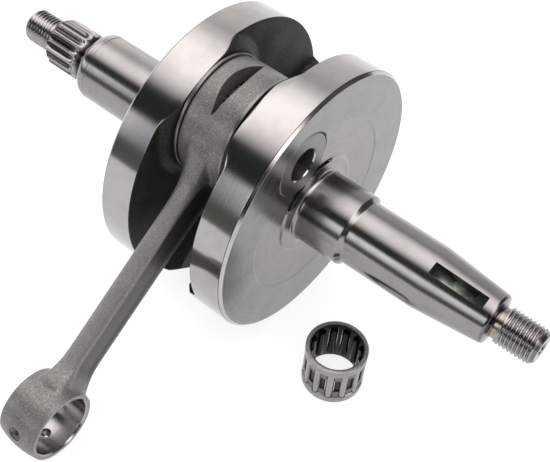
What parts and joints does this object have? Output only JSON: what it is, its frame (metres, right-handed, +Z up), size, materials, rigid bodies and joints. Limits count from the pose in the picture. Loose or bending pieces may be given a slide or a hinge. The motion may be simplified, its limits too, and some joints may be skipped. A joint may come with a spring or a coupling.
{
  "type": "engine crankshaft with connecting rod",
  "caption": "Pressed-up two-stroke engine crankshaft with round webs, a tapered end, a splined end, a connecting rod and a loose small-end needle bearing.",
  "frame": {"origin": "on the crankshaft's axis, halfway between the two webs, in the connecting rod's mid-plane", "axes": "+Y along the crankshaft's axis from the splined end to the tapered end, +Z up from the surface that the webs stand on, +X towards the side where the rod lies"},
  "size_m": [0.1289, 0.1724, 0.076],
  "materials": {
    "machined_steel": "fine-turned and ground steel, forged grey inside the webs",
    "pin_steel": "ground, satin end faces",
    "forged_steel": "shot-blasted forging",
    "cage_steel": "dark satin",
    "needle_steel": "polished",
    "washer_steel": "ground"
  },
  "bodies": {
    "crank": {"taper_crank_half": "machined_steel", "spline_crank_half": "machined_steel", "crank_pin": "pin_steel"},
    "conrod": {"connecting_rod": "forged_steel"},
    "big_end_cage": {"big_end_cage": "cage_steel"},
    "taper_side_washer": {"taper_side_thrust_washer": "washer_steel"},
    "spline_side_washer": {"spline_side_thrust_washer": "washer_steel"},
    "small_end_bearing": {"small_end_cage": "cage_steel"},
    "big_end_needle_01": {"big_end_needle_01": "needle_steel"},
    "big_end_needle_02": {"big_end_needle_02": "needle_steel"},
    "big_end_needle_03": {"big_end_needle_03": "needle_steel"},
    "big_end_needle_04": {"big_end_needle_04": "needle_steel"},
    "big_end_needle_05": {"big_end_needle_05": "needle_steel"},
    "big_end_needle_06": {"big_end_needle_06": "needle_steel"},
    "big_end_needle_07": {"big_end_needle_07": "needle_steel"},
    "big_end_needle_08": {"big_end_needle_08": "needle_steel"},
    "big_end_needle_09": {"big_end_needle_09": "needle_steel"},
    "big_end_needle_10": {"big_end_needle_10": "needle_steel"},
    "big_end_needle_11": {"big_end_needle_11": "needle_steel"},
    "big_end_needle_12": {"big_end_needle_12": "needle_steel"},
    "big_end_needle_13": {"big_end_needle_13": "needle_steel"},
    "big_end_needle_14": {"big_end_needle_14": "needle_steel"},
    "small_end_needle_01": {"small_end_needle_01": "needle_steel"},
    "small_end_needle_02": {"small_end_needle_02": "needle_steel"},
    "small_end_needle_03": {"small_end_needle_03": "needle_steel"},
    "small_end_needle_04": {"small_end_needle_04": "needle_steel"},
    "small_end_needle_05": {"small_end_needle_05": "needle_steel"},
    "small_end_needle_06": {"small_end_needle_06": "needle_steel"},
    "small_end_needle_07": {"small_end_needle_07": "needle_steel"},
    "small_end_needle_08": {"small_end_needle_08": "needle_steel"},
    "small_end_needle_09": {"small_end_needle_09": "needle_steel"},
    "small_end_needle_10": {"small_end_needle_10": "needle_steel"},
    "small_end_needle_11": {"small_end_needle_11": "needle_steel"},
    "small_end_needle_12": {"small_end_needle_12": "needle_steel"},
    "small_end_needle_13": {"small_end_needle_13": "needle_steel"}
  },
  "joints": [
    {"name": "rod_on_crank_pin", "type": "hinge", "parent": "crank", "child": "conrod", "pos_m": [0.00799, 0, 0.02103], "axis": [0, 1, 0], "continuous": true},
    {"name": "big_end_cage_turn", "type": "hinge", "parent": "crank", "child": "big_end_cage", "pos_m": [0.00799, 0, 0.02103], "axis": [0, 1, 0], "continuous": true},
    {"name": "taper_side_washer_turn", "type": "hinge", "parent": "crank", "child": "taper_side_washer", "pos_m": [0.00799, 0, 0.02103], "axis": [0, 1, 0], "continuous": true},
    {"name": "spline_side_washer_turn", "type": "hinge", "parent": "crank", "child": "spline_side_washer", "pos_m": [0.00799, 0, 0.02103], "axis": [0, 1, 0], "continuous": true},
    {"name": "small_end_bearing_lift", "type": "slide", "parent": "crank", "child": "small_end_bearing", "axis": [0, 0, 1], "range_m": [0, 0.01]},
    {"name": "big_end_needle_01_roll", "type": "hinge", "parent": "big_end_cage", "child": "big_end_needle_01", "pos_m": [0.01172, 0, 0.03085], "axis": [0, 1, 0], "continuous": true},
    {"name": "big_end_needle_02_roll", "type": "hinge", "parent": "big_end_cage", "child": "big_end_needle_02", "pos_m": [0.00709, 0, 0.0315], "axis": [0, 1, 0], "continuous": true},
    {"name": "big_end_needle_03_roll", "type": "hinge", "parent": "big_end_cage", "child": "big_end_needle_03", "pos_m": [0.00264, 0, 0.03007], "axis": [0, 1, 0], "continuous": true},
    {"name": "big_end_needle_04_roll", "type": "hinge", "parent": "big_end_cage", "child": "big_end_needle_04", "pos_m": [-0.00075, 0, 0.02685], "axis": [0, 1, 0], "continuous": true},
    {"name": "big_end_needle_05_roll", "type": "hinge", "parent": "big_end_cage", "child": "big_end_needle_05", "pos_m": [-0.00241, 0, 0.02249], "axis": [0, 1, 0], "continuous": true},
    {"name": "big_end_needle_06_roll", "type": "hinge", "parent": "big_end_cage", "child": "big_end_needle_06", "pos_m": [-0.00201, 0, 0.01783], "axis": [0, 1, 0], "continuous": true},
    {"name": "big_end_needle_07_roll", "type": "hinge", "parent": "big_end_cage", "child": "big_end_needle_07", "pos_m": [0.00037, 0, 0.01381], "axis": [0, 1, 0], "continuous": true},
    {"name": "big_end_needle_08_roll", "type": "hinge", "parent": "big_end_cage", "child": "big_end_needle_08", "pos_m": [0.00426, 0, 0.01122], "axis": [0, 1, 0], "continuous": true},
    {"name": "big_end_needle_09_roll", "type": "hinge", "parent": "big_end_cage", "child": "big_end_needle_09", "pos_m": [0.00889, 0, 0.01057], "axis": [0, 1, 0], "continuous": true},
    {"name": "big_end_needle_10_roll", "type": "hinge", "parent": "big_end_cage", "child": "big_end_needle_10", "pos_m": [0.01334, 0, 0.012], "axis": [0, 1, 0], "continuous": true},
    {"name": "big_end_needle_11_roll", "type": "hinge", "parent": "big_end_cage", "child": "big_end_needle_11", "pos_m": [0.01673, 0, 0.01521], "axis": [0, 1, 0], "continuous": true},
    {"name": "big_end_needle_12_roll", "type": "hinge", "parent": "big_end_cage", "child": "big_end_needle_12", "pos_m": [0.01839, 0, 0.01958], "axis": [0, 1, 0], "continuous": true},
    {"name": "big_end_needle_13_roll", "type": "hinge", "parent": "big_end_cage", "child": "big_end_needle_13", "pos_m": [0.01799, 0, 0.02424], "axis": [0, 1, 0], "continuous": true},
    {"name": "big_end_needle_14_roll", "type": "hinge", "parent": "big_end_cage", "child": "big_end_needle_14", "pos_m": [0.01561, 0, 0.02826], "axis": [0, 1, 0], "continuous": true},
    {"name": "small_end_needle_01_roll", "type": "hinge", "parent": "small_end_bearing", "child": "small_end_needle_01", "pos_m": [0.0243, 0.0435, -0.031], "axis": [0, 0, 1], "continuous": true},
    {"name": "small_end_needle_02_roll", "type": "hinge", "parent": "small_end_bearing", "child": "small_end_needle_02", "pos_m": [0.02349, 0.0402, -0.031], "axis": [0, 0, 1], "continuous": true},
    {"name": "small_end_needle_03_roll", "type": "hinge", "parent": "small_end_bearing", "child": "small_end_needle_03", "pos_m": [0.02123, 0.03766, -0.031], "axis": [0, 0, 1], "continuous": true},
    {"name": "small_end_needle_04_roll", "type": "hinge", "parent": "small_end_bearing", "child": "small_end_needle_04", "pos_m": [0.01806, 0.03645, -0.031], "axis": [0, 0, 1], "continuous": true},
    {"name": "small_end_needle_05_roll", "type": "hinge", "parent": "small_end_bearing", "child": "small_end_needle_05", "pos_m": [0.01468, 0.03686, -0.031], "axis": [0, 0, 1], "continuous": true},
    {"name": "small_end_needle_06_roll", "type": "hinge", "parent": "small_end_bearing", "child": "small_end_needle_06", "pos_m": [0.01189, 0.03879, -0.031], "axis": [0, 0, 1], "continuous": true},
    {"name": "small_end_needle_07_roll", "type": "hinge", "parent": "small_end_bearing", "child": "small_end_needle_07", "pos_m": [0.01031, 0.0418, -0.031], "axis": [0, 0, 1], "continuous": true},
    {"name": "small_end_needle_08_roll", "type": "hinge", "parent": "small_end_bearing", "child": "small_end_needle_08", "pos_m": [0.01031, 0.0452, -0.031], "axis": [0, 0, 1], "continuous": true},
    {"name": "small_end_needle_09_roll", "type": "hinge", "parent": "small_end_bearing", "child": "small_end_needle_09", "pos_m": [0.01189, 0.04821, -0.031], "axis": [0, 0, 1], "continuous": true},
    {"name": "small_end_needle_10_roll", "type": "hinge", "parent": "small_end_bearing", "child": "small_end_needle_10", "pos_m": [0.01468, 0.05014, -0.031], "axis": [0, 0, 1], "continuous": true},
    {"name": "small_end_needle_11_roll", "type": "hinge", "parent": "small_end_bearing", "child": "small_end_needle_11", "pos_m": [0.01806, 0.05055, -0.031], "axis": [0, 0, 1], "continuous": true},
    {"name": "small_end_needle_12_roll", "type": "hinge", "parent": "small_end_bearing", "child": "small_end_needle_12", "pos_m": [0.02123, 0.04934, -0.031], "axis": [0, 0, 1], "continuous": true},
    {"name": "small_end_needle_13_roll", "type": "hinge", "parent": "small_end_bearing", "child": "small_end_needle_13", "pos_m": [0.02349, 0.0468, -0.031], "axis": [0, 0, 1], "continuous": true}
  ],
  "couplings": [
    {"joint": "big_end_cage_turn", "follows": "rod_on_crank_pin", "ratio": 0.57143},
    {"joint": "big_end_needle_01_roll", "follows": "rod_on_crank_pin", "ratio": 3.4286},
    {"joint": "big_end_needle_02_roll", "follows": "rod_on_crank_pin", "ratio": 3.4286},
    {"joint": "big_end_needle_03_roll", "follows": "rod_on_crank_pin", "ratio": 3.4286},
    {"joint": "big_end_needle_04_roll", "follows": "rod_on_crank_pin", "ratio": 3.4286},
    {"joint": "big_end_needle_05_roll", "follows": "rod_on_crank_pin", "ratio": 3.4286},
    {"joint": "big_end_needle_06_roll", "follows": "rod_on_crank_pin", "ratio": 3.4286},
    {"joint": "big_end_needle_07_roll", "follows": "rod_on_crank_pin", "ratio": 3.4286},
    {"joint": "big_end_needle_08_roll", "follows": "rod_on_crank_pin", "ratio": 3.4286},
    {"joint": "big_end_needle_09_roll", "follows": "rod_on_crank_pin", "ratio": 3.4286},
    {"joint": "big_end_needle_10_roll", "follows": "rod_on_crank_pin", "ratio": 3.4286},
    {"joint": "big_end_needle_11_roll", "follows": "rod_on_crank_pin", "ratio": 3.4286},
    {"joint": "big_end_needle_12_roll", "follows": "rod_on_crank_pin", "ratio": 3.4286},
    {"joint": "big_end_needle_13_roll", "follows": "rod_on_crank_pin", "ratio": 3.4286},
    {"joint": "big_end_needle_14_roll", "follows": "rod_on_crank_pin", "ratio": 3.4286}
  ]
}
